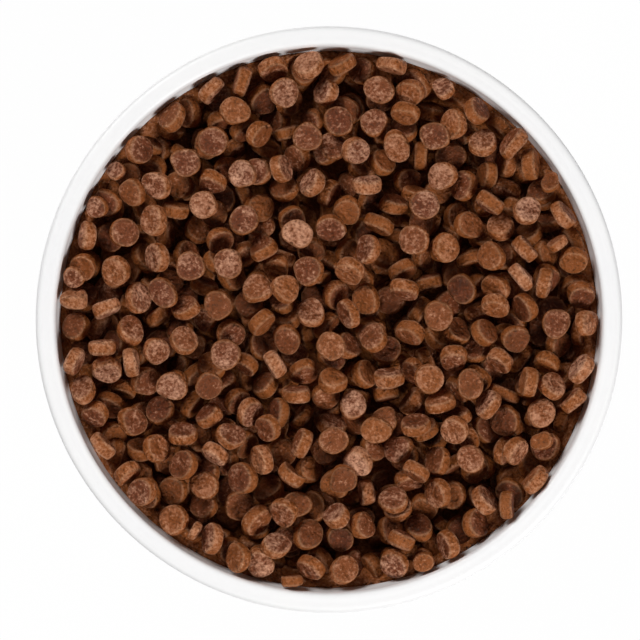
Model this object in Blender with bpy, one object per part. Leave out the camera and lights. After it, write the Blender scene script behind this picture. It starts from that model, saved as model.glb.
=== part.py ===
"""A round ceramic bowl filled with disc-shaped dry pet food.

Metres, +Z up. The origin is the middle of the foot, on the surface that the bowl stands on.
"""
import math

import bmesh
import bpy
import numpy as np
from mathutils import Vector
from mathutils.geometry import delaunay_2d_cdt

# Bowl
RIM_DIAMETER = 0.170
BOWL_HEIGHT = 0.058
WALL = 0.0058
WALL_LEAN = math.radians(8.0)
FLOOR_THICKNESS = 0.0060
FLOOR_RADIUS = 0.030
FOOT_DIAMETER = 0.094
FOOT_HEIGHT = 0.0045
FOOT_WIDTH = 0.0050
FOOT_TAPER = 0.0010
FOOT_EDGE = 0.0006
RECESS_DEPTH = 0.0022
FOOT_LEAN = math.radians(14.0)
OUTER_FULLNESS = (0.50, 0.50)
INNER_FULLNESS = (0.55, 0.48)
BOWL_SIDES = 48
WALL_STEPS = 7
LIP_STEPS = 6

# Pellets
PELLET_DIAMETER = 0.0092
PELLET_THICKNESS = 0.0045
PELLET_SPREAD = 0.07
EDGE_WIDTH = 0.0009
EDGE_DEPTH = 0.0010
PELLET_SIDES = 9
FUSED_PELLET_SIDES = 8
LOOSE_PELLETS = 58

# Filling
FILL_BELOW_RIM = 0.0050
HEAP_RISE = 0.0010
LAYING_DEPTH = 0.0160
PACKING = 0.62
BED_COVER = 0.36
BED_EDGE_DROP = 0.0045
BED_SIDES = 24
GAP = 0.00035
SUNK = 0.0008

# Laying of the pellets
GRID = 0.0004
TRIES = 120
TILT_POWER = 0.85
SETTLING_ROUNDS = 5
SETTLING_TRIES = 36
SETTLING_SHIFT = 0.0014
SETTLING_TILT = 0.20
SEED = 11

BOWL_WHITE = (0.86, 0.86, 0.85, 1.0)
KIBBLE_BROWN = (0.17, 0.075, 0.035, 1.0)

PELLET_RADIUS = PELLET_DIAMETER / 2
PELLET_HALF = PELLET_THICKNESS / 2
INNER_RIM_RADIUS = RIM_DIAMETER / 2 - WALL


def bezier(start, start_handle, end_handle, end, steps):
    """Points of a cubic curve, both ends included."""
    t = np.linspace(0.0, 1.0, steps + 1)[:, None]
    points = [np.array(p) for p in (start, start_handle, end_handle, end)]
    return ((1 - t) ** 3 * points[0] + 3 * (1 - t) ** 2 * t * points[1]
            + 3 * (1 - t) * t ** 2 * points[2] + t ** 3 * points[3])


def wall_curve(start, start_angle, end, fullness, steps):
    """A wall from its foot up to the lip, where it leans outwards by WALL_LEAN."""
    run = math.dist(start, end)
    out = np.array([math.cos(start_angle), math.sin(start_angle)])
    up = np.array([math.sin(WALL_LEAN), math.cos(WALL_LEAN)])
    return bezier(start, np.array(start) + out * run * fullness[0],
                  np.array(end) - up * run * fullness[1], end, steps)


def lip_point(angle):
    """A point of the round lip, whose section is a half circle as thick as the wall."""
    radius = WALL / 2
    return (RIM_DIAMETER / 2 - radius + radius * math.cos(angle),
            BOWL_HEIGHT - radius + radius * math.sin(angle))


def inner_wall(steps):
    """The inner side in section, from the edge of the flat floor up to the lip."""
    floor_edge = (FLOOR_RADIUS, RECESS_DEPTH + FLOOR_THICKNESS)
    return wall_curve(floor_edge, 0.0, lip_point(math.pi - WALL_LEAN), INNER_FULLNESS, steps)


def bowl_section():
    """The bowl in section, as (radius, height), from the floor up, over the lip and down to the foot."""
    foot = FOOT_DIAMETER / 2
    outer = wall_curve((foot, FOOT_HEIGHT), FOOT_LEAN, lip_point(-WALL_LEAN), OUTER_FULLNESS, WALL_STEPS)
    lip_angles = np.linspace(math.pi - WALL_LEAN, -WALL_LEAN, LIP_STEPS + 1)[1:-1]
    ring_inside = foot - FOOT_TAPER - FOOT_WIDTH
    return [(0.0, RECESS_DEPTH + FLOOR_THICKNESS), *inner_wall(WALL_STEPS),
            *[lip_point(angle) for angle in lip_angles], *outer[::-1],
            (foot - FOOT_TAPER + FOOT_EDGE, FOOT_EDGE), (foot - FOOT_TAPER, 0.0),
            (ring_inside, 0.0), (ring_inside - FOOT_EDGE, FOOT_EDGE),
            (ring_inside - RECESS_DEPTH, RECESS_DEPTH), (0.0, RECESS_DEPTH)]


def turned(section, sides):
    """A closed mesh made by turning a section about the Z axis."""
    bm = bmesh.new()
    verts = [bm.verts.new((radius, 0.0, height)) for radius, height in section]
    edges = [bm.edges.new(pair) for pair in zip(verts, verts[1:])]
    bmesh.ops.spin(bm, geom=verts + edges, cent=(0, 0, 0), axis=(0, 0, 1),
                   angle=2 * math.pi, steps=sides, use_merge=True)
    bmesh.ops.remove_doubles(bm, verts=bm.verts, dist=1e-7)
    bmesh.ops.recalc_face_normals(bm, faces=bm.faces)
    return bm


def material(name, colour, roughness):
    """A Principled material with a plain colour."""
    made = bpy.data.materials.new(name)
    made.use_nodes = True
    shader = made.node_tree.nodes["Principled BSDF"]
    shader.inputs["Base Color"].default_value = colour
    shader.inputs["Roughness"].default_value = roughness
    return made


def add_object(name, bm, finish, sharp_angle=40.0):
    """Turn a bmesh into a smooth-shaded object."""
    mesh = bpy.data.meshes.new(name)
    bm.to_mesh(mesh)
    bm.free()
    mesh.shade_smooth()
    mesh.set_sharp_from_angle(angle=math.radians(sharp_angle))
    mesh.materials.append(finish)
    added = bpy.data.objects.new(name, mesh)
    bpy.context.scene.collection.objects.link(added)
    return added


def edge_rounding():
    """Weights of the ellipsoid that rounds a pellet's edge, in units of its radius and half thickness.

    It passes where the flat face ends and where the straight side begins.
    """
    face = 1 - EDGE_WIDTH / PELLET_RADIUS
    side = 1 - EDGE_DEPTH / PELLET_HALF
    across, along = np.linalg.solve([[face ** 2, 1.0], [1.0, side ** 2]], [1.0, 1.0])
    return across, across, along


def heights_on_lines(to_unit, dx, dy):
    """Where vertical lines enter and leave pellets, above their centres.

    to_unit turns a pellet into a disc of radius 1 and half thickness 1. The pellet is what a slab, a
    cylinder and an ellipsoid have in common, and each of them bounds a weighted sum of squares by 1.
    """
    start = to_unit[:, :, 0, None] * dx[:, None] + to_unit[:, :, 1, None] * dy[:, None]
    rise = to_unit[:, :, 2, None]
    low = np.full(dx.shape, -np.inf)
    high = np.full(dx.shape, np.inf)
    for weights in ((0.0, 0.0, 1.0), (1.0, 1.0, 0.0), edge_rounding()):
        w = np.array(weights)[None, :, None]
        square = np.maximum((w * rise * rise).sum(1), 1e-12)
        middle = (w * rise * start).sum(1)
        inside = middle ** 2 - square * ((w * start * start).sum(1) - 1.0)
        root = np.sqrt(np.maximum(inside, 0.0))
        low = np.maximum(low, np.where(inside > 0, (-middle - root) / square, np.inf))
        high = np.minimum(high, np.where(inside > 0, (-middle + root) / square, -np.inf))
    return low, high


def orientations(normals, spins):
    """Rotation matrices that carry the Z axis to each normal, after a turn by spin about Z."""
    x, y, z = normals.T
    length = np.sqrt(np.maximum(x * x + y * y, 1e-18))
    side = np.stack([-y / length, x / length, np.zeros_like(x)], 1)
    front = np.cross(normals, side)
    c, s = np.cos(spins)[:, None], np.sin(spins)[:, None]
    return np.stack([side * c + front * s, front * c - side * s, normals], 2)


class Heap:
    """The surface of the filling, as heights on a square grid, on which pellets are laid one by one."""

    def __init__(self):
        self.half = math.ceil(RIM_DIAMETER / 2 / GRID)
        line = np.arange(-self.half, self.half + 1) * GRID
        self.x, self.y = np.meshgrid(line, line, indexing="ij")
        radius = np.hypot(self.x, self.y)
        wall = inner_wall(WALL_STEPS)
        facet = math.cos(math.pi / BOWL_SIDES)
        self.bowl = np.interp(radius / facet, wall[:, 0], wall[:, 1], right=BOWL_HEIGHT)
        self.ground = np.maximum(self.bowl, fill_level(radius) - LAYING_DEPTH)
        reach = math.ceil((PELLET_RADIUS * (1 + 2 * PELLET_SPREAD) + GAP) / GRID)
        offsets = np.arange(-reach, reach + 1)
        across, along = np.meshgrid(offsets, offsets, indexing="ij")
        near = np.hypot(across, along) <= reach
        self.across, self.along = across[near], along[near]
        self.random = np.random.default_rng(SEED)

    def rest(self, sizes, places, normals, spins):
        """Heights at which pellets held like this would come to lie on the ground."""
        column = np.rint(places[:, 0] / GRID).astype(int)[:, None] + self.across
        row = np.rint(places[:, 1] / GRID).astype(int)[:, None] + self.along
        dx = column * GRID - places[:, :1]
        dy = row * GRID - places[:, 1:]
        frames = orientations(normals, spins)
        to_unit = frames.transpose(0, 2, 1) / (sizes + GAP)[:, :, None]
        low, _ = heights_on_lines(to_unit, dx, dy)
        size = 2 * self.half
        ground = self.ground[np.clip(column + self.half, 0, size), np.clip(row + self.half, 0, size)]
        return np.where(low < np.inf, ground - low, -np.inf).max(1)

    def choose(self, sizes, places, normals, spins, reach):
        """The pose whose centre comes lowest under the level that the filling is to reach."""
        heights = self.rest(sizes, places, normals, spins)
        radius = np.hypot(places[:, 0], places[:, 1])
        best = np.argmin(np.where(radius > reach, np.inf, heights - fill_level(radius)))
        return best, heights[best]

    def lay(self, reach):
        """Drop one pellet where it comes to lie lowest, let it settle, and add it to the ground."""
        random = self.random
        size = np.array([PELLET_RADIUS, PELLET_RADIUS, PELLET_HALF]) * (
            1 + random.uniform(-PELLET_SPREAD, PELLET_SPREAD, 3))
        radius = reach * np.sqrt(random.uniform(0, 1, TRIES))
        angle = random.uniform(0, 2 * math.pi, TRIES)
        places = np.stack([radius * np.cos(angle), radius * np.sin(angle)], 1)
        tilt = np.full(TRIES, random.uniform(0, 1) ** TILT_POWER * math.pi / 2)
        lean = random.uniform(0, 2 * math.pi, TRIES)
        normals = np.stack([np.sin(tilt) * np.cos(lean), np.sin(tilt) * np.sin(lean), np.cos(tilt)], 1)
        spins = random.uniform(0, 2 * math.pi, TRIES)
        best, height = self.choose(size[None], places, normals, spins, reach)
        place, normal, spin = places[best], normals[best], spins[best]
        for turn in range(SETTLING_ROUNDS):
            step = 0.5 ** turn
            places = place + random.normal(0, SETTLING_SHIFT * step, (SETTLING_TRIES, 2))
            normals = normal + random.normal(0, SETTLING_TILT * step, (SETTLING_TRIES, 3))
            places[0], normals[0] = place, normal
            normals /= np.linalg.norm(normals, axis=1)[:, None]
            spins = np.full(SETTLING_TRIES, spin)
            best, height = self.choose(size[None], places, normals, spins, reach)
            place, normal = places[best], normals[best]
        frame = orientations(normal[None], np.array([spin]))[0]
        centre = np.array([place[0], place[1], height])
        self.add(size, centre, frame)
        return size, centre, frame

    def add(self, size, centre, frame):
        """Raise the ground to a pellet's upper side."""
        column = np.rint(centre[0] / GRID).astype(int) + self.across
        row = np.rint(centre[1] / GRID).astype(int) + self.along
        dx, dy = column * GRID - centre[0], row * GRID - centre[1]
        low, high = heights_on_lines((frame.T / size[:, None])[None], dx[None], dy[None])
        hit = (low[0] < high[0]) & (abs(column) <= self.half) & (abs(row) <= self.half)
        cells = column[hit] + self.half, row[hit] + self.half
        self.ground[cells] = np.maximum(self.ground[cells], centre[2] + high[0][hit])

    def clear(self):
        """Lower the ground to the empty bowl."""
        self.ground = self.bowl.copy()

    def raise_to(self, corners):
        """Raise the ground to a triangle."""
        low = np.floor(corners[:, :2].min(0) / GRID).astype(int) + self.half
        high = np.ceil(corners[:, :2].max(0) / GRID).astype(int) + self.half + 1
        cells = slice(low[0], high[0]), slice(low[1], high[1])
        sides = np.array([corners[1, :2] - corners[0, :2], corners[2, :2] - corners[0, :2]]).T
        from_first = np.stack([self.x[cells] - corners[0, 0], self.y[cells] - corners[0, 1]])
        second, third = np.tensordot(np.linalg.inv(sides), from_first, 1)
        rise = corners[1:, 2] - corners[0, 2]
        height = corners[0, 2] + second * rise[0] + third * rise[1]
        within = (second >= 0) & (third >= 0) & (second + third <= 1)
        self.ground[cells] = np.maximum(self.ground[cells], np.where(within, height, 0.0))


def fill_level(radius):
    """Height of the filling's middle surface: a low dome that ends at the wall under the rim."""
    share = np.minimum(radius / INNER_RIM_RADIUS, 1.0)
    return BOWL_HEIGHT - FILL_BELOW_RIM + HEAP_RISE * (1 - share ** 2)


def bed_edge():
    """The bed's upper edge at the wall, as its height and radius."""
    height = fill_level(INNER_RIM_RADIUS) - BED_EDGE_DROP
    wall = inner_wall(WALL_STEPS)
    return height, np.interp(height, wall[:, 1], wall[:, 0]) - GAP


def bed_block(pellets, heap):
    """The mass of pellets under the top ones, as one solid in the shape of the bowl's inside.

    Its upper side runs through points just under the middles of the pellets that are fused to it.
    """
    height, radius = bed_edge()
    wall = inner_wall(WALL_STEPS)
    section = [(r - GAP, z + GAP) for r, z in wall if z + GAP < height - GAP]
    angles = np.arange(BED_SIDES) * 2 * math.pi / BED_SIDES
    circle = np.stack([np.cos(angles), np.sin(angles), np.zeros(BED_SIDES)], 1)
    rim = circle * radius + [0, 0, height]
    tops = np.array([centre for _, centre, _ in pellets]) - [0, 0, SUNK]
    points = np.concatenate([rim, tops])
    flat = [Vector(p[:2]) for p in points]
    _, _, triangles, origins, _, _ = delaunay_2d_cdt(flat, [], [], 0, 1e-7)
    triangles = [[origins[i][0] for i in triangle] for triangle in triangles]
    bm = bmesh.new()
    verts = [bm.verts.new(p) for p in points]
    for triangle in triangles:
        bm.faces.new([verts[i] for i in triangle])
        heap.raise_to(points[triangle])
    ring = verts[:BED_SIDES]
    for section_radius, section_height in reversed(section):
        lower = [bm.verts.new(p) for p in circle * section_radius + [0, 0, section_height]]
        for i in range(BED_SIDES):
            bm.faces.new([ring[i - 1], lower[i - 1], lower[i], ring[i]])
        ring = lower
    bm.faces.new(ring)
    bmesh.ops.recalc_face_normals(bm, faces=bm.faces)
    return bm


def add_pellet(bm, sides, size, centre, frame):
    """Add one pellet to a mesh: a turned disc with a bevelled edge, stretched to its own size."""
    face = 1 - EDGE_WIDTH / PELLET_RADIUS
    side = 1 - EDGE_DEPTH / PELLET_HALF
    angles = np.arange(sides) * 2 * math.pi / sides
    rings = []
    for radius, height in ((face, 1.0), (1.0, side), (1.0, -side), (face, -1.0)):
        ring = np.stack([radius * np.cos(angles), radius * np.sin(angles), np.full(sides, height)], 1)
        rings.append([bm.verts.new(p) for p in (ring * size) @ frame.T + centre])
    for upper, lower in zip(rings, rings[1:]):
        for i in range(sides):
            bm.faces.new([upper[i - 1], lower[i - 1], lower[i], upper[i]])
    bm.faces.new(rings[0])
    bm.faces.new(rings[-1][::-1])


for old in list(bpy.data.objects):
    bpy.data.objects.remove(old, do_unlink=True)

ceramic = material("glazed ceramic", BOWL_WHITE, 0.15)
kibble = material("dry pet food", KIBBLE_BROWN, 0.75)

add_object("bowl", turned(bowl_section(), BOWL_SIDES), ceramic)

opening = math.pi * INNER_RIM_RADIUS ** 2
pellet_face = math.pi * PELLET_RADIUS ** 2
bed_count = round(BED_COVER * opening / pellet_face)
all_count = round(PACKING * opening * LAYING_DEPTH / (pellet_face * PELLET_THICKNESS))
heap = Heap()
for _ in range(all_count - bed_count - LOOSE_PELLETS):
    heap.lay(INNER_RIM_RADIUS - PELLET_HALF)
bed_reach = bed_edge()[1] - 2 * GAP
bed_pellets = [heap.lay(bed_reach) for _ in range(bed_count)]

# The loose pellets come to lie on what is modelled: the bowl, the bed and the pellets fused to it
heap.clear()
bed = add_object("kibble_bed", bed_block(bed_pellets, heap), kibble)
for pellet in bed_pellets:
    heap.add(*pellet)

joined = bmesh.new()
for pellet in bed_pellets:
    add_pellet(joined, FUSED_PELLET_SIDES, *pellet)
fused = add_object("fused_pellets", joined, kibble)
fused.hide_render = True
fused.display_type = "WIRE"
union = bed.modifiers.new("pellets on the bed", "BOOLEAN")
union.operation = "UNION"
union.object = fused

for number in range(1, LOOSE_PELLETS + 1):
    single = bmesh.new()
    add_pellet(single, PELLET_SIDES, *heap.lay(INNER_RIM_RADIUS - PELLET_HALF))
    add_object(f"kibble_{number:02d}", single, kibble)
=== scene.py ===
import math
import bpy
import numpy as np
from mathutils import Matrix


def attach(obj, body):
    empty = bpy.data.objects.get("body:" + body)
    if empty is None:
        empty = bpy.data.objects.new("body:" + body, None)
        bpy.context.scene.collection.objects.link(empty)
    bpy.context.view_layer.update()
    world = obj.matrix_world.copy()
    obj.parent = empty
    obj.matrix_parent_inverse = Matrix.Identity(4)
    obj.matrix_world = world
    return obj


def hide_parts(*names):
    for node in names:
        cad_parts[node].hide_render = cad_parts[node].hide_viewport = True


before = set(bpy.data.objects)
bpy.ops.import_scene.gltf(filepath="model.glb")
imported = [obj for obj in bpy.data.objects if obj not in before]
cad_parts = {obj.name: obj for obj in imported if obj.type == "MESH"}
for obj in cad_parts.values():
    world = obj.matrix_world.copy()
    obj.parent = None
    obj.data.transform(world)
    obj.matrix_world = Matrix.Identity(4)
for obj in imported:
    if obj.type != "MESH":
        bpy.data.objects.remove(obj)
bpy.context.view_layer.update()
mm = 0.001
print("frame loaded")


# sRGB hex to the linear colour that a shader socket takes
def linear(hexCode):
    channel = np.array([int(hexCode[i:i + 2], 16) for i in (1, 3, 5)]) / 255
    return (*np.where(channel <= 0.04045, channel / 12.92, ((channel + 0.055) / 1.055) ** 2.4).tolist(), 1.0)


# Adds a shader node with its settings. An input is a value, or (node, output) to link.
# A colour Mix takes its factor, A and B at inputs 0, 6 and 7, and gives its colour at output 2.
def node(tree, kind, inputs=None, **settings):
    made = tree.nodes.new(kind)
    for name, value in settings.items():
        setattr(made, name, value)
    for name, value in (inputs or {}).items():
        if isinstance(value, tuple) and isinstance(value[0], bpy.types.Node):
            tree.links.new(value[0].outputs[value[1]], made.inputs[name])
        else:
            made.inputs[name].default_value = value
    return made


# A material with an empty tree
def newMaterial(name):
    material = bpy.data.materials.new(name)
    material.use_nodes = True
    material.node_tree.nodes.clear()
    return material, material.node_tree


def newObject(name, data):
    made = bpy.data.objects.new(name, data)
    bpy.context.scene.collection.objects.link(made)
    return made


bowl = {
    "rimRadius": 85 * mm,
    "height": 58 * mm,
    "wall": 5.8 * mm,
    "wallLean": math.radians(8.0),
    "lipSquareness": 0.22,
    "floorHeight": 8.2 * mm,
    "floorRadius": 30 * mm,
    "footRadius": 47 * mm,
    "footHeight": 4.5 * mm,
    "footWidth": 5 * mm,
    "footTaper": 1 * mm,
    "footEdge": 0.6 * mm,
    "footLean": math.radians(14.0),
    "recess": 2.2 * mm,
    "outerFullness": (0.50, 0.50),
    "innerFullness": (0.55, 0.48),
    "glazeFillet": 1.6 * mm,
    "turns": 192,
    "wallSteps": 40,
    "lipSteps": 24,
    "floorRings": 8,
    "recessRings": 7,
}
innerRim = bowl["rimRadius"] - bowl["wall"]


# The camera looks straight down, as on a copy stand, and frames the rim as the photograph does
shot = {
    "rimCentrePx": (329.0, 319.5),
    "rimRadiusPx": 293.5,
    "imagePx": 640,
    "aboveRim": 1.1,
    "sensor": 36.0,
}

metresPerPx = bowl["rimRadius"] / shot["rimRadiusPx"]
middlePx = shot["imagePx"] / 2
cameraData = bpy.data.cameras.new("copyStand")
cameraData.sensor_width = shot["sensor"]
cameraData.lens = shot["sensor"] * shot["aboveRim"] / (shot["imagePx"] * metresPerPx)
camera = newObject("copyStand", cameraData)
camera.location = ((middlePx - shot["rimCentrePx"][0]) * metresPerPx,
                   (shot["rimCentrePx"][1] - middlePx) * metresPerPx, bowl["height"] + shot["aboveRim"])
bpy.context.scene.camera = camera
bpy.context.scene.view_settings.view_transform = "Standard"


# Rings of points, [solid, ring, turn, xyz], become closed solids with a point at each end, [solid, 2, xyz].
# The rings run from the first end to the last, anticlockwise seen from the first.
def ringSolids(name, rings, ends, attributes=None):
    solids, levels, turns, _ = rings.shape
    points = np.concatenate([rings.reshape(solids, -1, 3), ends], 1)
    start = np.arange(solids)[:, None, None] * points.shape[1]
    level = np.arange(levels - 1)[None, :, None] * turns
    here = np.arange(turns)[None, None, :]
    after = (here + 1) % turns
    quads = np.stack([start + level + here, start + level + turns + here,
                      start + level + turns + after, start + level + after], -1).reshape(-1, 4)
    firstEnd = start + levels * turns
    lastRing = start + (levels - 1) * turns
    fans = [np.stack(np.broadcast_arrays(firstEnd, start + here, start + after), -1),
            np.stack(np.broadcast_arrays(firstEnd + 1, lastRing + after, lastRing + here), -1)]
    mesh = bpy.data.meshes.new(name)
    mesh.from_pydata(points.reshape(-1, 3).tolist(), [],
                     quads.tolist() + np.concatenate(fans, 1).reshape(-1, 3).tolist())
    for label, values in (attributes or {}).items():
        mesh.attributes.new(label, "FLOAT", "POINT").data.foreach_set("value", values.ravel())
    mesh.shade_smooth()
    return newObject(name, mesh)


# Puts a finished piece on the part's one body, with its material, and hides the nodes it stands for
def place(piece, slot, material, *nodes):
    piece.data.materials.append(material)
    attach(piece, "root")
    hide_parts(*nodes)


# Cubic curve: (1-t)^3 a + 3(1-t)^2 t b + 3(1-t) t^2 c + t^3 d
def cubic(a, b, c, d, steps):
    t = np.linspace(0, 1, steps + 1)[:, None]
    return ((1 - t) ** 3 * np.array(a) + 3 * (1 - t) ** 2 * t * np.array(b)
            + 3 * (1 - t) * t ** 2 * np.array(c) + t ** 3 * np.array(d))


# A wall in section: it leaves its foot at the angle given and meets the lip leaning out by wallLean
def wallCurve(start, angle, end, fullness, steps):
    run = math.dist(start, end)
    out = np.array([math.cos(angle), math.sin(angle)])
    up = np.array([math.sin(bowl["wallLean"]), math.cos(bowl["wallLean"])])
    return cubic(start, np.array(start) + out * run * fullness[0],
                 np.array(end) - up * run * fullness[1], end, steps)


# The lip's section is a half circle as thick as the wall. Its radius may swell by square sin^2(2 angle),
# which flattens its top.
def lipPoint(angle, square=0.0):
    r = bowl["wall"] / 2
    swollen = r * (1 + square * math.sin(2 * angle) ** 2)
    return np.array([bowl["rimRadius"] - r + swollen * math.cos(angle),
                     bowl["height"] - r + swollen * math.sin(angle)])


# The inner side in section, from the flat floor's edge up to the lip
def innerWall(steps):
    return wallCurve((bowl["floorRadius"], bowl["floorHeight"]), 0.0,
                     lipPoint(math.pi - bowl["wallLean"]), bowl["innerFullness"], steps)


# A rounded corner b between a and c: the quadratic curve that starts and ends at reach from b
def rounded(a, b, c, reach, steps=4):
    a, b, c = np.array(a), np.array(b), np.array(c)
    start = b + (a - b) / np.linalg.norm(a - b) * reach
    end = b + (c - b) / np.linalg.norm(c - b) * reach
    t = np.linspace(0, 1, steps + 1)[:, None]
    return (1 - t) ** 2 * start + 2 * (1 - t) * t * b + t ** 2 * end


# The whole section as (radius, height), from the middle of the floor over the lip to the recess under it
def bowlSection():
    foot, edge = bowl["footRadius"], bowl["footEdge"]
    flat = np.linspace(0, 1, bowl["floorRings"])[1:-1, None] * [bowl["floorRadius"], 0]
    flat = flat + [0, bowl["floorHeight"]]
    outer = wallCurve((foot, bowl["footHeight"]), bowl["footLean"], lipPoint(-bowl["wallLean"]),
                      bowl["outerFullness"], bowl["wallSteps"])[::-1]
    angles = np.linspace(math.pi - bowl["wallLean"], -bowl["wallLean"], bowl["lipSteps"] + 1)[1:-1]
    outside = (foot - bowl["footTaper"], 0.0)
    inside = (outside[0] - bowl["footWidth"], 0.0)
    inner = (inside[0] - bowl["recess"], bowl["recess"])
    clear = np.linalg.norm(outer - outer[-1], axis=1) > bowl["glazeFillet"]
    under = np.linspace(1, 0, bowl["recessRings"])[1:-1, None] * [inner[0] - edge, 0] + [0, bowl["recess"]]
    lip = [lipPoint(angle, bowl["lipSquareness"]) for angle in angles]
    return np.concatenate([
        flat, innerWall(bowl["wallSteps"]), lip, outer[clear],
        rounded(outer[clear][-1], outer[-1], outside, bowl["glazeFillet"]),
        rounded(outer[-1], outside, inside, edge), rounded(outside, inside, inner, edge),
        rounded(inside, inner, (0, bowl["recess"]), edge), under])


# A surface of revolution: (r(s) cos a, r(s) sin a, z(s)), as the rings of one solid
def turnedRings(section, turns):
    a = np.arange(turns) * 2 * math.pi / turns
    r, z = section[:, :1], section[:, 1:]
    return np.stack([r * np.cos(a), r * np.sin(a), z + 0 * a], -1)[None]


# White stoneware, jiggered, dipped in a satin white glaze and fired: almost even, with a soft highlight, the
# faint unevenness of a dipped coat, and a bare, rougher, buff ring where the foot was wiped
def glazedStoneware():
    glaze = {
        "white": "#F4F3F2",
        "pooled": "#EEEEEF",
        "bareFoot": "#D9CFBF",
        "bareBelow": 0.7 * mm,
        "fullyBare": 0.6,
        "dipSize": 22 * mm,
        "rippleSize": 5 * mm,
        "rippleDepth": 0.010 * mm,
        "gritSize": 0.5 * mm,
        "gritDepth": 0.05 * mm,
        "roughness": 0.42,
        "bareRoughness": 0.75,
        "ior": 1.52,
    }
    material, tree = newMaterial("glazedStoneware")
    at = node(tree, "ShaderNodeTexCoord")
    dip = node(tree, "ShaderNodeTexNoise", {"Vector": (at, "Object"), "Scale": 1 / glaze["dipSize"]})
    cover = node(tree, "ShaderNodeMix", {0: (dip, 0), 6: linear(glaze["white"]), 7: linear(glaze["pooled"])},
                 data_type="RGBA")
    height = node(tree, "ShaderNodeSeparateXYZ", {"Vector": (at, "Object")})
    bare = node(tree, "ShaderNodeMapRange", {
        "Value": (height, "Z"), "From Min": glaze["bareBelow"],
        "From Max": glaze["fullyBare"] * glaze["bareBelow"]})
    colour = node(tree, "ShaderNodeMix", {0: (bare, 0), 6: (cover, 2), 7: linear(glaze["bareFoot"])},
                  data_type="RGBA")
    rough = node(tree, "ShaderNodeMapRange", {
        "Value": (bare, 0), "To Min": glaze["roughness"], "To Max": glaze["bareRoughness"]})
    ripple = node(tree, "ShaderNodeTexNoise", {
        "Vector": (at, "Object"), "Scale": 1 / glaze["rippleSize"], "Detail": 1.0})
    rippled = node(tree, "ShaderNodeBump", {"Height": (ripple, 0), "Distance": glaze["rippleDepth"]})
    grit = node(tree, "ShaderNodeTexNoise", {"Vector": (at, "Object"), "Scale": 1 / glaze["gritSize"]})
    gritty = node(tree, "ShaderNodeMath", {0: (grit, 0), 1: (bare, 0)}, operation="MULTIPLY")
    bumped = node(tree, "ShaderNodeBump", {
        "Height": (gritty, 0), "Distance": glaze["gritDepth"], "Normal": (rippled, 0)})
    shader = node(tree, "ShaderNodeBsdfPrincipled", {
        "Base Color": (colour, 2), "Roughness": (rough, 0), "IOR": glaze["ior"], "Normal": (bumped, 0)})
    node(tree, "ShaderNodeOutputMaterial", {"Surface": (shader, 0)})
    return material


bowlEnds = np.array([[[0, 0, bowl["floorHeight"]], [0, 0, bowl["recess"]]]])
bowlPiece = ringSolids("stonewareBowl", turnedRings(bowlSection(), bowl["turns"]), bowlEnds)
place(bowlPiece, "bowl_glaze", glazedStoneware(), "bowl")
print("bowl turned:", len(bowlPiece.data.polygons), "faces")


# How the filling was laid in the CAD model, pellet by pellet. With these values the bed's top pellets come to
# lie here where they are fused in the CAD model's bed. The values for broken and for sunk ones are for what
# the CAD model doesn't show.
filling = {
    "pelletRadius": 4.6 * mm,
    "pelletHalf": 2.25 * mm,
    "spread": 0.07,
    "edgeWidth": 0.9 * mm,
    "edgeDepth": 1.0 * mm,
    "belowRim": 5.0 * mm,
    "rise": 1.0 * mm,
    "layingDepth": 16 * mm,
    "packing": 0.62,
    "bedCover": 0.36,
    "bedEdgeDrop": 4.5 * mm,
    "bedClearance": 3,
    "looseCount": 58,
    "gap": 0.35 * mm,
    "grid": 0.4 * mm,
    "cornerMatch": 0.01 * mm,
    "tries": 120,
    "tiltPower": 0.85,
    "settlingRounds": 5,
    "settlingTries": 36,
    "settlingShift": 1.4 * mm,
    "settlingTilt": 0.20,
    "brokenFrom": 0.90,
    "brokenTries": 90,
    "brokenShare": (0.68, 0.92),
    "brokenTop": 3.3 * mm,
    "sink": 1.3 * mm,
    "sinkOver": 3.0 * mm,
    "seed": 11,
    "wallSteps": 7,
    "bowlSides": 48,
}


# Height of the filling's middle surface: a low dome that ends at the wall under the rim
def fillLevel(radius):
    share = np.minimum(radius / innerRim, 1.0)
    return bowl["height"] - filling["belowRim"] + filling["rise"] * (1 - share ** 2)


# The weighted sums of squares that bound a pellet of radius and half thickness 1: its faces, its side,
# and the ellipsoid that rounds its edge
def pelletBounds():
    face = 1 - filling["edgeWidth"] / filling["pelletRadius"]
    side = 1 - filling["edgeDepth"] / filling["pelletHalf"]
    across, along = np.linalg.solve([[face ** 2, 1.0], [1.0, side ** 2]], [1.0, 1.0])
    return (0.0, 0.0, 1.0), (1.0, 1.0, 0.0), (across, across, along)


# Where vertical lines at dx, dy enter and leave pellets, above their centres
def heightsOnLines(toUnit, dx, dy):
    start = toUnit[:, :, 0, None] * dx[:, None] + toUnit[:, :, 1, None] * dy[:, None]
    rise = toUnit[:, :, 2, None]
    low, high = np.full(dx.shape, -np.inf), np.full(dx.shape, np.inf)
    for weights in pelletBounds():
        w = np.array(weights)[None, :, None]
        square = np.maximum((w * rise * rise).sum(1), 1e-12)
        middle = (w * rise * start).sum(1)
        inside = middle ** 2 - square * ((w * start * start).sum(1) - 1.0)
        root = np.sqrt(np.maximum(inside, 0.0))
        low = np.maximum(low, np.where(inside > 0, (-middle - root) / square, np.inf))
        high = np.minimum(high, np.where(inside > 0, (-middle + root) / square, -np.inf))
    return low, high


# Rotations that carry the Z axis to each normal, after a turn about it
def orientations(normals, spins):
    x, y, _ = normals.T
    length = np.sqrt(np.maximum(x * x + y * y, 1e-18))
    side = np.stack([-y / length, x / length, np.zeros_like(x)], 1)
    front = np.cross(normals, side)
    c, s = np.cos(spins)[:, None], np.sin(spins)[:, None]
    return np.stack([side * c + front * s, front * c - side * s, normals], 2)


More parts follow.
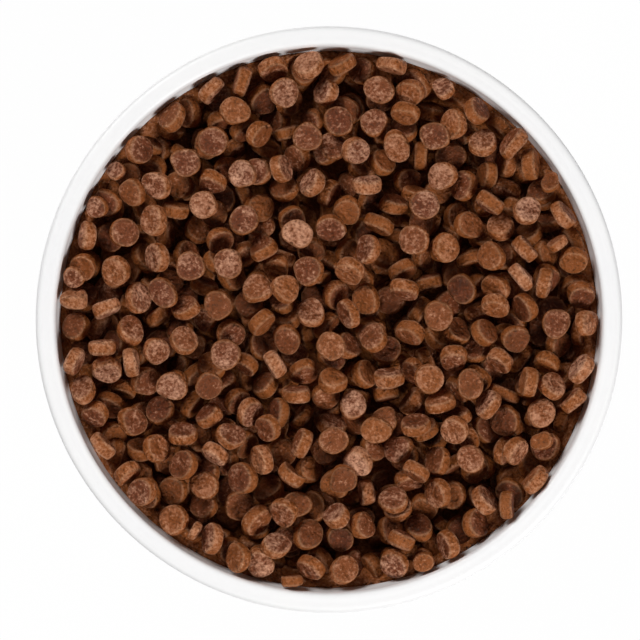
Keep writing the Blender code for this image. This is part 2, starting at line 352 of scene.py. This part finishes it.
# The filling's surface as heights on a square grid, on which pellets are laid one by one
class Heap:
    def __init__(self):
        grid = filling["grid"]
        self.half = math.ceil(bowl["rimRadius"] / grid)
        line = np.arange(-self.half, self.half + 1) * grid
        radius = np.hypot(*np.meshgrid(line, line, indexing="ij"))
        wall = innerWall(filling["wallSteps"])
        facet = math.cos(math.pi / filling["bowlSides"])
        ground = np.interp(radius / facet, wall[:, 0], wall[:, 1], right=bowl["height"])
        self.ground = np.maximum(ground, fillLevel(radius) - filling["layingDepth"])
        reach = math.ceil((filling["pelletRadius"] * (1 + 2 * filling["spread"]) + filling["gap"]) / grid)
        across, along = np.meshgrid(*[np.arange(-reach, reach + 1)] * 2, indexing="ij")
        near = np.hypot(across, along) <= reach
        self.across, self.along = across[near], along[near]
        self.random = np.random.default_rng(filling["seed"])

    # Grid cells round each place, and how far they are from it
    def around(self, places):
        grid = filling["grid"]
        column = np.rint(places[:, 0] / grid).astype(int)[:, None] + self.across
        row = np.rint(places[:, 1] / grid).astype(int)[:, None] + self.along
        cells = np.clip(column + self.half, 0, 2 * self.half), np.clip(row + self.half, 0, 2 * self.half)
        return cells, column * grid - places[:, :1], row * grid - places[:, 1:2]

    # Heights at which pellets held like this would come to lie
    def rest(self, sizes, places, normals, spins):
        cells, dx, dy = self.around(places)
        toUnit = orientations(normals, spins).transpose(0, 2, 1) / (sizes + filling["gap"])[:, :, None]
        low, _ = heightsOnLines(toUnit, dx, dy)
        return np.where(low < np.inf, self.ground[cells] - low, -np.inf).max(1)

    # The pose whose centre comes lowest under the level that the filling is to reach
    def choose(self, sizes, places, normals, spins, reach):
        heights = self.rest(sizes, places, normals, spins)
        radius = np.hypot(places[:, 0], places[:, 1])
        best = np.argmin(np.where(radius > reach, np.inf, heights - fillLevel(radius)))
        return best, heights[best]

    # Drops one pellet where it comes to lie lowest, lets it settle by shifts and tilts that halve each round,
    # and raises the ground to its upper side. It is tried all over the filling, or only over the outer part
    # past the share start of its area, and is a whole pellet, or a broken one of the share given.
    def lay(self, reach, start=0.0, share=1.0):
        random, spread, tries = self.random, filling["spread"], filling["tries"]
        radii = np.array([filling["pelletRadius"], filling["pelletRadius"], filling["pelletHalf"]])
        size = radii * share * (1 + random.uniform(-spread, spread, 3))
        radius = reach * np.sqrt(random.uniform(start, 1, tries))
        angle = random.uniform(0, 2 * math.pi, tries)
        places = np.stack([radius * np.cos(angle), radius * np.sin(angle)], 1)
        tilt = np.full(tries, random.uniform(0, 1) ** filling["tiltPower"] * math.pi / 2)
        lean = random.uniform(0, 2 * math.pi, tries)
        normals = np.stack([np.sin(tilt) * np.cos(lean), np.sin(tilt) * np.sin(lean), np.cos(tilt)], 1)
        spins = random.uniform(0, 2 * math.pi, tries)
        best, height = self.choose(size[None], places, normals, spins, reach)
        spot, normal, spin = places[best], normals[best], spins[best]
        for turn in range(filling["settlingRounds"]):
            step, more = 0.5 ** turn, filling["settlingTries"]
            places = spot + random.normal(0, filling["settlingShift"] * step, (more, 2))
            normals = normal + random.normal(0, filling["settlingTilt"] * step, (more, 3))
            places[0], normals[0] = spot, normal
            normals /= np.linalg.norm(normals, axis=1)[:, None]
            best, height = self.choose(size[None], places, normals, np.full(more, spin), reach)
            spot, normal = places[best], normals[best]
        turned = orientations(normal[None], np.array([spin]))[0]
        pellet = size, np.array([spot[0], spot[1], height]), turned
        cells, low, high = self.span(pellet)
        self.ground[cells] = np.maximum(self.ground[cells], high)
        return pellet

    # The grid cells that a pellet covers, with the heights of its under and upper side there
    def span(self, pellet):
        size, centre, turned = pellet
        cells, dx, dy = self.around(centre[None])
        low, high = heightsOnLines((turned.T / size[:, None])[None], dx, dy)
        hit = low[0] < high[0]
        return (cells[0][0][hit], cells[1][0][hit]), centre[2] + low[0][hit], centre[2] + high[0][hit]


# A loose pellet of the CAD model, as its size, centre and turn: its corners' spread along its own axes,
# over the spread that a pellet of radius and half thickness 1 has
def readPellet(name):
    corners = np.array([v.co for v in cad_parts[name].data.vertices])
    corners = corners[np.unique(np.round(corners / filling["cornerMatch"]), axis=0, return_index=True)[1]]
    centre = corners.mean(0)
    spread, axes = np.linalg.eigh(np.cov((corners - centre).T, bias=True))
    face = 1 - filling["edgeWidth"] / filling["pelletRadius"]
    side = 1 - filling["edgeDepth"] / filling["pelletHalf"]
    across, along = (1 + face ** 2) / 4, (1 + side ** 2) / 2
    size = np.sqrt(spread[[1, 2, 0]] / [across, across, along])
    first, normal = axes[:, 1], axes[:, 0]
    return size, centre, np.stack([first, np.cross(normal, first), normal], 1)


opening = math.pi * innerRim ** 2
pelletFace = math.pi * filling["pelletRadius"] ** 2
bedCount = round(filling["bedCover"] * opening / pelletFace)
allCount = round(filling["packing"] * opening * filling["layingDepth"]
                 / (pelletFace * 2 * filling["pelletHalf"]))
heap = Heap()
wallReach = innerRim - filling["pelletHalf"]
lowerPellets = [heap.lay(wallReach) for _ in range(allCount - bedCount - filling["looseCount"])]
wallSection = innerWall(filling["wallSteps"])
bedTop = fillLevel(innerRim) - filling["bedEdgeDrop"]
bedReach = np.interp(bedTop, wallSection[:, 1], wallSection[:, 0]) - filling["bedClearance"] * filling["gap"]
bedPellets = [heap.lay(bedReach) for _ in range(bedCount)]
looseNames = sorted(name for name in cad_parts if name.startswith("kibble_") and name != "kibble_bed")
loosePellets = [readPellet(name) for name in looseNames]
print("pellets laid:", len(lowerPellets), len(bedPellets), len(loosePellets))

# The loose ones press down whatever they meet of the lower ones
ceiling = np.full(heap.ground.shape, np.inf)
for pellet in loosePellets:
    cells, low, high = heap.span(pellet)
    ceiling[cells] = np.minimum(ceiling[cells], low)
    heap.ground[cells] = np.maximum(heap.ground[cells], high)
for size, centre, turned in lowerPellets:
    cells, low, high = heap.span((size, centre, turned))
    centre[2] -= max((high - ceiling[cells]).max(), 0.0)

# Small broken ones fill pockets along the wall, where one comes to lie low enough
brokenPellets = []
for _ in range(filling["brokenTries"]):
    before = heap.ground.copy()
    pellet = heap.lay(wallReach, filling["brokenFrom"], heap.random.uniform(*filling["brokenShare"]))
    if pellet[1][2] < fillLevel(np.hypot(*pellet[1][:2])) + filling["brokenTop"]:
        brokenPellets.append(pellet)
    else:
        heap.ground = before
print("broken pellets along the wall:", len(brokenPellets))

# The lower ones lie deeper by sink times their depth over sinkOver, up to the whole of sink
for _, centre, _ in lowerPellets:
    depth = fillLevel(np.hypot(*centre[:2])) - centre[2]
    centre[2] -= filling["sink"] * min(max(depth / filling["sinkOver"], 0.0), 1.0)


# A baked disc: the rings of its upper half as (radius, height), mirrored below, and how far it strays
# from a true disc, as shares of its radius or in metres
disc = {
    "turns": 10,
    "rings": ((0.56, 1.0), (0.84, 0.96), (1.0, 0.60)),
    "swell": 0.985,
    "thin": 0.93,
    "ripple": {2: 0.065, 3: 0.050, 4: 0.036, 5: 0.020},
    "wedge": 0.06,
    "faceFalloff": 4,
    "dish": (-0.50 * mm, 0.40 * mm),
    "bend": 0.18 * mm,
    "bentShare": 0.14,
    "bent": 0.9 * mm,
    "dentShare": 0.45,
    "dent": 0.55 * mm,
    "dentDepth": (0.3, 1),
    "dentPlace": (0.1, 0.75),
    "dentWidth": 0.32,
    "pointedShare": 0.08,
    "pointed": 0.18,
    "pointSharpness": 6,
    "crumble": 0.15 * mm,
    "skinBelow": 0.66,
    "skinFade": 0.32,
    "seed": 5,
}


# Rings of baked discs. With r, h the rings' radius and height and a the angle round them, a point is
# (r o(a) cos a, r o(a) sin a, h w), where the outline o is 1 plus a few ripples and here and there a point,
# and w thickens towards one side. Then the faces are dished and dented, the disc is bent about a line
# through its middle, and every point crumbles a little before the disc is turned into its place.
def discRings(pellets, random):
    count, turns = len(pellets), disc["turns"]
    half = np.array(disc["rings"])
    profile = np.concatenate([[[0, 1]], half, half[::-1] * [1, -1], [[0, -1]]])
    r, h = profile[:, 0][None, :, None], profile[:, 1][None, :, None]
    a = np.arange(turns)[None, None, :] * 2 * math.pi / turns

    def one(draw):
        return draw[:, None, None]

    def angle():
        return one(random.uniform(0, 2 * math.pi, count))

    outline = 1 + sum(one(random.normal(0, size, count)) * np.cos(lobes * (a - angle()))
                      for lobes, size in disc["ripple"].items())
    pointed = one(random.uniform(0, 1, count) < disc["pointedShare"]) * disc["pointed"]
    outline = outline + pointed * np.maximum(np.cos(a - angle()), 0) ** disc["pointSharpness"]
    x, y = r * outline * np.cos(a), r * outline * np.sin(a)
    thickSide = angle()
    z = h * (1 + one(random.normal(0, disc["wedge"], count))
             * (x * np.cos(thickSide) + y * np.sin(thickSide)))
    sizes = np.array([size for size, _, _ in pellets])[:, :, None, None]
    x = x * sizes[:, 0] * disc["swell"]
    y = y * sizes[:, 1] * disc["swell"]
    z = z * sizes[:, 2] * disc["thin"]
    for side in (1, -1):
        onFace = np.maximum(side * h, 0) ** disc["faceFalloff"]
        z = z - side * onFace * one(random.uniform(*disc["dish"], count)) * (1 - r ** 2)
        dentAngle, dentPlace = angle(), one(random.uniform(*disc["dentPlace"], count))
        away = (r * np.cos(a) - dentPlace * np.cos(dentAngle)) ** 2 + (
            r * np.sin(a) - dentPlace * np.sin(dentAngle)) ** 2
        depth = one((random.uniform(0, 1, count) < disc["dentShare"])
                    * random.uniform(*disc["dentDepth"], count))
        z = z - side * onFace * depth * disc["dent"] * np.exp(-away / disc["dentWidth"] ** 2)
    bendAngle = angle()
    strong = one(random.uniform(0, 1, count) < disc["bentShare"])
    bend = one(random.normal(0, 1, count)) * np.where(strong, disc["bent"], disc["bend"])
    z = z + bend * ((r * np.cos(a - bendAngle)) ** 2 - 0.5)
    points = np.stack(np.broadcast_arrays(x, y, z), -1)
    points = points + random.normal(0, disc["crumble"], points.shape)
    points[:, 0], points[:, -1] = points[:, 0].mean(1, keepdims=True), points[:, -1].mean(1, keepdims=True)
    turned = np.array([t for _, _, t in pellets])
    centres = np.array([centre for _, centre, _ in pellets])
    points = np.einsum("sij,srtj->srti", turned, points) + centres[:, None, None]
    return points[:, 1:-1], points[:, [0, -1], 0]


# For each point of a disc: its pellet's own tone and golden tint, and how far it is on the flat faces that the
# knife cut, which is 0 on the skin, up to the height skinBelow, and goes to 1 over skinFade
def discAttributes(rings, tones, tints):
    count, levels, turns, _ = rings.shape
    upper = np.clip((np.array(disc["rings"])[:, 1] - disc["skinBelow"]) / disc["skinFade"], 0, 1)
    faces = np.concatenate([np.repeat(np.concatenate([upper, upper[::-1]]), turns), [1, 1]])
    points = levels * turns + 2
    return {"tone": np.repeat(tones[:, None], points, 1), "tint": np.repeat(tints[:, None], points, 1),
            "cutFace": np.tile(faces, (count, 1))}


# Extruded meat-and-grain dough, cut into discs, dried and sprayed with fat: dull, porous and crinkled, no two
# pellets alike. The knife leaves flat reddish brown faces, the skin round the edge is more golden. The dough's
# shade is the pellet's tone plus the mottle and the crinkles, two noises that average 0.5. The crinkles'
# hollows are darker, which is painted shade; their highest bits are pale meal and in part a painted highlight,
# and the same pale is laid along the edge between face and skin as a painted highlight. The fat gives a weak
# sheen.
def bakedKibble():
    dough = {
        "dark": "#38180A",
        "middle": "#6D371F",
        "light": "#D9A283",
        "skin": "#B06732",
        "skinShare": 0.50,
        # pale meal specks, in part a painted highlight on the crinkle tops
        "mealAndHighlightColour": "#E0B48E",
        "mealFrom": 0.59,
        "mealTo": 0.72,
        "mealShare": 0.17,
        # painted highlight: pale meal laid along the edge between face and skin
        "edgeHighlight": 0.40,
        "ragged": 0.5,
        # painted shade in the crinkles' hollows
        "hollowShade": "#2C1207",
        "hollowFrom": 0.47,
        "hollowTo": 0.30,
        "hollowShadeShare": 0.52,
        "crinkleSize": 0.88 * mm,
        "crinkleDetail": 3.0,
        "crinkleRoughness": 0.62,
        "crinkleDistortion": 0.15,
        "crinkleTone": 1.15,
        "crinkleDepth": 0.75 * mm,
        "mottleSize": 3.0 * mm,
        "mottle": 0.80,
        "lumpSize": 2.0 * mm,
        "lumpDepth": 1.15 * mm,
        "roughness": 0.31,
        "specular": 0.10,
        "ior": 1.45,
    }
    material, tree = newMaterial("bakedKibble")
    at = (node(tree, "ShaderNodeTexCoord"), "Object")
    tone = node(tree, "ShaderNodeAttribute", attribute_name="tone")
    tint = node(tree, "ShaderNodeAttribute", attribute_name="tint")
    cut = node(tree, "ShaderNodeAttribute", attribute_name="cutFace")
    crinkle = node(tree, "ShaderNodeTexNoise", {
        "Vector": at, "Scale": 1 / dough["crinkleSize"], "Detail": dough["crinkleDetail"],
        "Roughness": dough["crinkleRoughness"], "Distortion": dough["crinkleDistortion"]})
    mottle = node(tree, "ShaderNodeTexNoise", {"Vector": at, "Scale": 1 / dough["mottleSize"], "Detail": 2.0})
    mottled = node(tree, "ShaderNodeMath", {0: (mottle, 0), 1: dough["mottle"], 2: (tone, "Fac")},
                   operation="MULTIPLY_ADD")
    crinkled = node(tree, "ShaderNodeMath", {0: (crinkle, 0), 1: dough["crinkleTone"], 2: (mottled, 0)},
                    operation="MULTIPLY_ADD")
    shade = node(tree, "ShaderNodeMath", {
        0: (crinkled, 0), 1: 0.5 * (dough["mottle"] + dough["crinkleTone"])}, operation="SUBTRACT")
    base = node(tree, "ShaderNodeValToRGB", {"Fac": (shade, 0)})
    base.color_ramp.elements.new(0.5)
    for stop, colour in zip(base.color_ramp.elements, ("dark", "middle", "light")):
        stop.color = linear(dough[colour])
    strayed = node(tree, "ShaderNodeMath", {0: (crinkle, 0), 1: dough["ragged"], 2: (cut, "Fac")},
                   operation="MULTIPLY_ADD")
    face = node(tree, "ShaderNodeMapRange", {
        "Value": (strayed, 0), "From Min": 0.5 * dough["ragged"], "From Max": 1 + 0.5 * dough["ragged"]})
    golden = node(tree, "ShaderNodeMapRange", {
        "Value": (face, 0), "To Min": dough["skinShare"], "To Max": (tint, "Fac")})
    skinned = node(tree, "ShaderNodeMix", {0: (golden, 0), 6: (base, 0), 7: linear(dough["skin"])},
                   data_type="RGBA")
    # pale meal on the crinkle tops, in part a painted highlight
    mealAndHighlightMask = node(tree, "ShaderNodeMapRange", {
        "Value": (crinkle, 0), "From Min": dough["mealFrom"], "From Max": dough["mealTo"],
        "To Max": dough["mealShare"]})
    # painted highlight along the edge where the face meets the skin
    edge = node(tree, "ShaderNodeMath", {0: (face, 0), 1: 0.5}, operation="PINGPONG")
    mealAndEdgeHighlightMask = node(tree, "ShaderNodeMath", {0: (edge, 0), 1: dough["edgeHighlight"], 2: (mealAndHighlightMask, 0)},
                 operation="MULTIPLY_ADD")
    withMealAndHighlight = node(tree, "ShaderNodeMix", {0: (mealAndEdgeHighlightMask, 0), 6: (skinned, 2), 7: linear(dough["mealAndHighlightColour"])},
                    data_type="RGBA")
    # painted shade: the crinkles' hollows are darkened
    hollowShade = node(tree, "ShaderNodeMapRange", {
        "Value": (crinkle, 0), "From Min": dough["hollowFrom"], "From Max": dough["hollowTo"],
        "To Max": dough["hollowShadeShare"]})
    colour = node(tree, "ShaderNodeMix", {0: (hollowShade, 0), 6: (withMealAndHighlight, 2), 7: linear(dough["hollowShade"])},
                  data_type="RGBA")
    lump = node(tree, "ShaderNodeTexNoise", {"Vector": at, "Scale": 1 / dough["lumpSize"], "Detail": 1.0})
    lumpy = node(tree, "ShaderNodeBump", {"Height": (lump, 0), "Distance": dough["lumpDepth"]})
    crinkly = node(tree, "ShaderNodeBump", {
        "Height": (crinkle, 0), "Distance": dough["crinkleDepth"], "Normal": (lumpy, 0)})
    shader = node(tree, "ShaderNodeBsdfPrincipled", {
        "Base Color": (colour, 2), "Roughness": dough["roughness"], "IOR": dough["ior"],
        "Specular IOR Level": dough["specular"], "Normal": (crinkly, 0)})
    node(tree, "ShaderNodeOutputMaterial", {"Surface": (shader, 0)})
    return material


# Pieces of the filling: the loose pellets one by one, the rest in patches
piles = {
    "patch": 26 * mm,
    "lowerPatch": 54 * mm,
    "closeLevels": 2,
    "lowerLevels": 1,
    "deepLevels": 0,
    "deepBelow": 9 * mm,
    "closeTone": 0.52,
    # painted shade: the lower pellets get a darker tone that stands in for the shade down in the gaps
    "lowerPaintedShadeTone": 0.34,
    "toneSpread": 0.10,
    "tintMost": 0.45,
}
kibbleMaterial = bakedKibble()
discRandom = np.random.default_rng(disc["seed"])


def addDiscs(name, pellets, levels, tone, *nodes):
    rings, ends = discRings(pellets, discRandom)
    tones = np.clip(discRandom.normal(tone, piles["toneSpread"], len(pellets)), 0, 1)
    tints = piles["tintMost"] * discRandom.uniform(0, 1, len(pellets)) ** 2
    piece = ringSolids(name, rings, ends, discAttributes(rings, tones, tints))
    if levels:
        rounded = piece.modifiers.new("rounded", "SUBSURF")
        rounded.levels = rounded.render_levels = levels
    place(piece, "kibble", kibbleMaterial, *nodes)


def addPatches(name, pellets, size, levels, tone):
    patch = {}
    for pellet in pellets:
        spot = tuple(np.floor(pellet[1][:2] / size + 0.5).astype(int).tolist())
        patch.setdefault(spot, []).append(pellet)
    for number, spot in enumerate(sorted(patch), 1):
        addDiscs(f"{name}{number:02d}", patch[spot], levels, tone, "kibble_bed")
    return len(patch)


for name, pellet in zip(looseNames, loosePellets):
    addDiscs(name.replace("kibble_", "loosePellet"), [pellet], piles["closeLevels"], piles["closeTone"], name)
patches = addPatches("bedPellets", bedPellets + brokenPellets, piles["patch"], piles["closeLevels"],
                     piles["closeTone"])
inReach = [fillLevel(np.hypot(*centre[:2])) - centre[2] < piles["deepBelow"] for _, centre, _ in lowerPellets]
seen = [pellet for pellet, near in zip(lowerPellets, inReach) if near]
deep = [pellet for pellet, near in zip(lowerPellets, inReach) if not near]
# the lower and deep pellets carry the darker tone of painted shade
lowerPatches = addPatches("lowerPellets", seen, piles["lowerPatch"], piles["lowerLevels"], piles["lowerPaintedShadeTone"])
deepPatches = addPatches("deepPellets", deep, piles["lowerPatch"], piles["deepLevels"], piles["lowerPaintedShadeTone"])
print("patches of pellets:", patches, lowerPatches, deepPatches, "deep pellets:", len(deep))


# The imported kibble under the pellets: a lumpy dome that fills the bowl to its floor and rises along the wall,
# as a turned section. Its dark tone is painted shade for the deep gaps between the pellets; where it rises
# along the wall it is as pale as a pellet. With s from 0 to 1 over its outer part, its height is
# level - below + s^risePower (below - belowAtWall).
packed = {
    "below": 13.5 * mm,
    "belowAtWall": 3.2 * mm,
    "risesFrom": 0.90,
    "risePower": 0.5,
    "seat": 0.03 * mm,
    "lump": 0.8 * mm,
    # painted shade: the dome's dark tone stands in for the shade deep in the gaps
    "tone": 0.1,
    "toneAtWall": 0.5,
    "steps": 40,
    "turns": 128,
    "seed": 3,
}


def packedSection():
    wall = innerWall(bowl["wallSteps"]) + [-packed["seat"], packed["seat"]]
    top = fillLevel(innerRim) - packed["belowAtWall"]
    edge = np.interp(top, wall[:, 1], wall[:, 0])
    r = np.linspace(0, edge, packed["steps"] + 1)[1:]
    outer = np.clip((r / edge - packed["risesFrom"]) / (1 - packed["risesFrom"]), 0, 1)
    risen = outer ** packed["risePower"] * (packed["below"] - packed["belowAtWall"])
    dome = np.stack([r, fillLevel(r) - packed["below"] + risen], 1)
    dome[-1, 1] = top
    below = wall[wall[:, 1] < top][::-1]
    return np.concatenate([dome, below])


packedRings = turnedRings(packedSection(), packed["turns"])
lumps = np.random.default_rng(packed["seed"]).normal(0, packed["lump"], packedRings.shape[1:3])
packedRings[0, :packed["steps"] - 1, :, 2] += lumps[:packed["steps"] - 1]
packedEnds = np.array([[[0, 0, fillLevel(0) - packed["below"]],
                        [0, 0, bowl["floorHeight"] + packed["seat"]]]])
# painted shade: a dark tone all over, and a pellet's tone where the dome rises along the wall
ringTonesAndPaintedShade = np.full(packedRings.shape[1], packed["tone"])
ringTonesAndPaintedShade[round(packed["steps"] * packed["risesFrom"]):packed["steps"]] = packed["toneAtWall"]
packedTonesAndPaintedShade = np.concatenate([np.repeat(ringTonesAndPaintedShade, packed["turns"]), [packed["tone"]] * 2])
packedPiece = ringSolids("packedKibble", packedRings, packedEnds,
                         {"tone": packedTonesAndPaintedShade, "tint": 0 * packedTonesAndPaintedShade, "cutFace": 0 * packedTonesAndPaintedShade})
place(packedPiece, "kibble", kibbleMaterial, "kibble_bed")
print("packed kibble under them")


# A plain studio: soft lights on both sides of the bowl, the key at the lower right of the picture, in an even
# white surround. On a level white surface the three shares of light add up to 1.1.
studio = {
    "surround": 0.06,
    "lights": {
        "key": {"share": 0.58, "azimuth": math.radians(-56.0), "elevation": math.radians(41.0), "size": 0.5},
        "fill": {"share": 0.46, "azimuth": math.radians(128.0), "elevation": math.radians(38.0), "size": 0.7},
    },
    "distance": 1.3,
    "floorSize": 3.0,
    "floorWhite": "#DCDCDC",
    "seenWhite": 0.985,
}


# 1 for camera, glossy and transmission rays, which see plain white round the object
def seenRays(tree):
    path = node(tree, "ShaderNodeLightPath")
    either = node(tree, "ShaderNodeMath", {0: (path, "Is Camera Ray"), 1: (path, "Is Glossy Ray")},
                  operation="MAXIMUM")
    return node(tree, "ShaderNodeMath", {0: (either, 0), 1: (path, "Is Transmission Ray")},
                operation="MAXIMUM")


world = bpy.data.worlds.new("surround")
world.use_nodes = True
world.node_tree.nodes.clear()
strength = node(world.node_tree, "ShaderNodeMapRange", {
    "Value": (seenRays(world.node_tree), 0), "To Min": studio["surround"], "To Max": 1.0})
background = node(world.node_tree, "ShaderNodeBackground", {"Color": (1, 1, 1, 1), "Strength": (strength, 0)})
node(world.node_tree, "ShaderNodeOutputWorld", {"Surface": (background, 0)})
bpy.context.scene.world = world

# Round soft lights that face the rim's middle: power = share pi^2 distance^2 / sin(elevation)
for name, light in studio["lights"].items():
    lamp = bpy.data.lights.new(name, "AREA")
    lamp.shape = "DISK"
    lamp.size = light["size"]
    lamp.energy = light["share"] * math.pi ** 2 * studio["distance"] ** 2 / math.sin(light["elevation"])
    level = math.cos(light["elevation"]) * studio["distance"]
    placed = newObject(name, lamp)
    placed.location = (level * math.cos(light["azimuth"]), level * math.sin(light["azimuth"]),
                       bowl["height"] + math.sin(light["elevation"]) * studio["distance"])
    placed.rotation_euler = (math.pi / 2 - light["elevation"], 0, light["azimuth"] + math.pi / 2)

# A matt pale sheet that the bowl stands on; most of what the camera sees of it is plain white
floorMaterial, floorTree = newMaterial("mattPaleSheet")
matt = node(floorTree, "ShaderNodeBsdfDiffuse", {"Color": linear(studio["floorWhite"])})
plain = node(floorTree, "ShaderNodeEmission", {"Color": (1, 1, 1, 1), "Strength": 1.0})
seen = node(floorTree, "ShaderNodeMath", {0: (seenRays(floorTree), 0), 1: studio["seenWhite"]},
            operation="MULTIPLY")
sheet = node(floorTree, "ShaderNodeMixShader", {0: (seen, 0), 1: (matt, 0), 2: (plain, 0)})
node(floorTree, "ShaderNodeOutputMaterial", {"Surface": (sheet, 0)})
floorMesh = bpy.data.meshes.new("floor")
side = studio["floorSize"] / 2
floorCorners = [(-side, -side, 0), (side, -side, 0), (side, side, 0), (-side, side, 0)]
floorMesh.from_pydata(floorCorners, [], [(0, 1, 2, 3)])
floorMesh.materials.append(floorMaterial)
floor = newObject("floor", floorMesh)
print("studio lit")
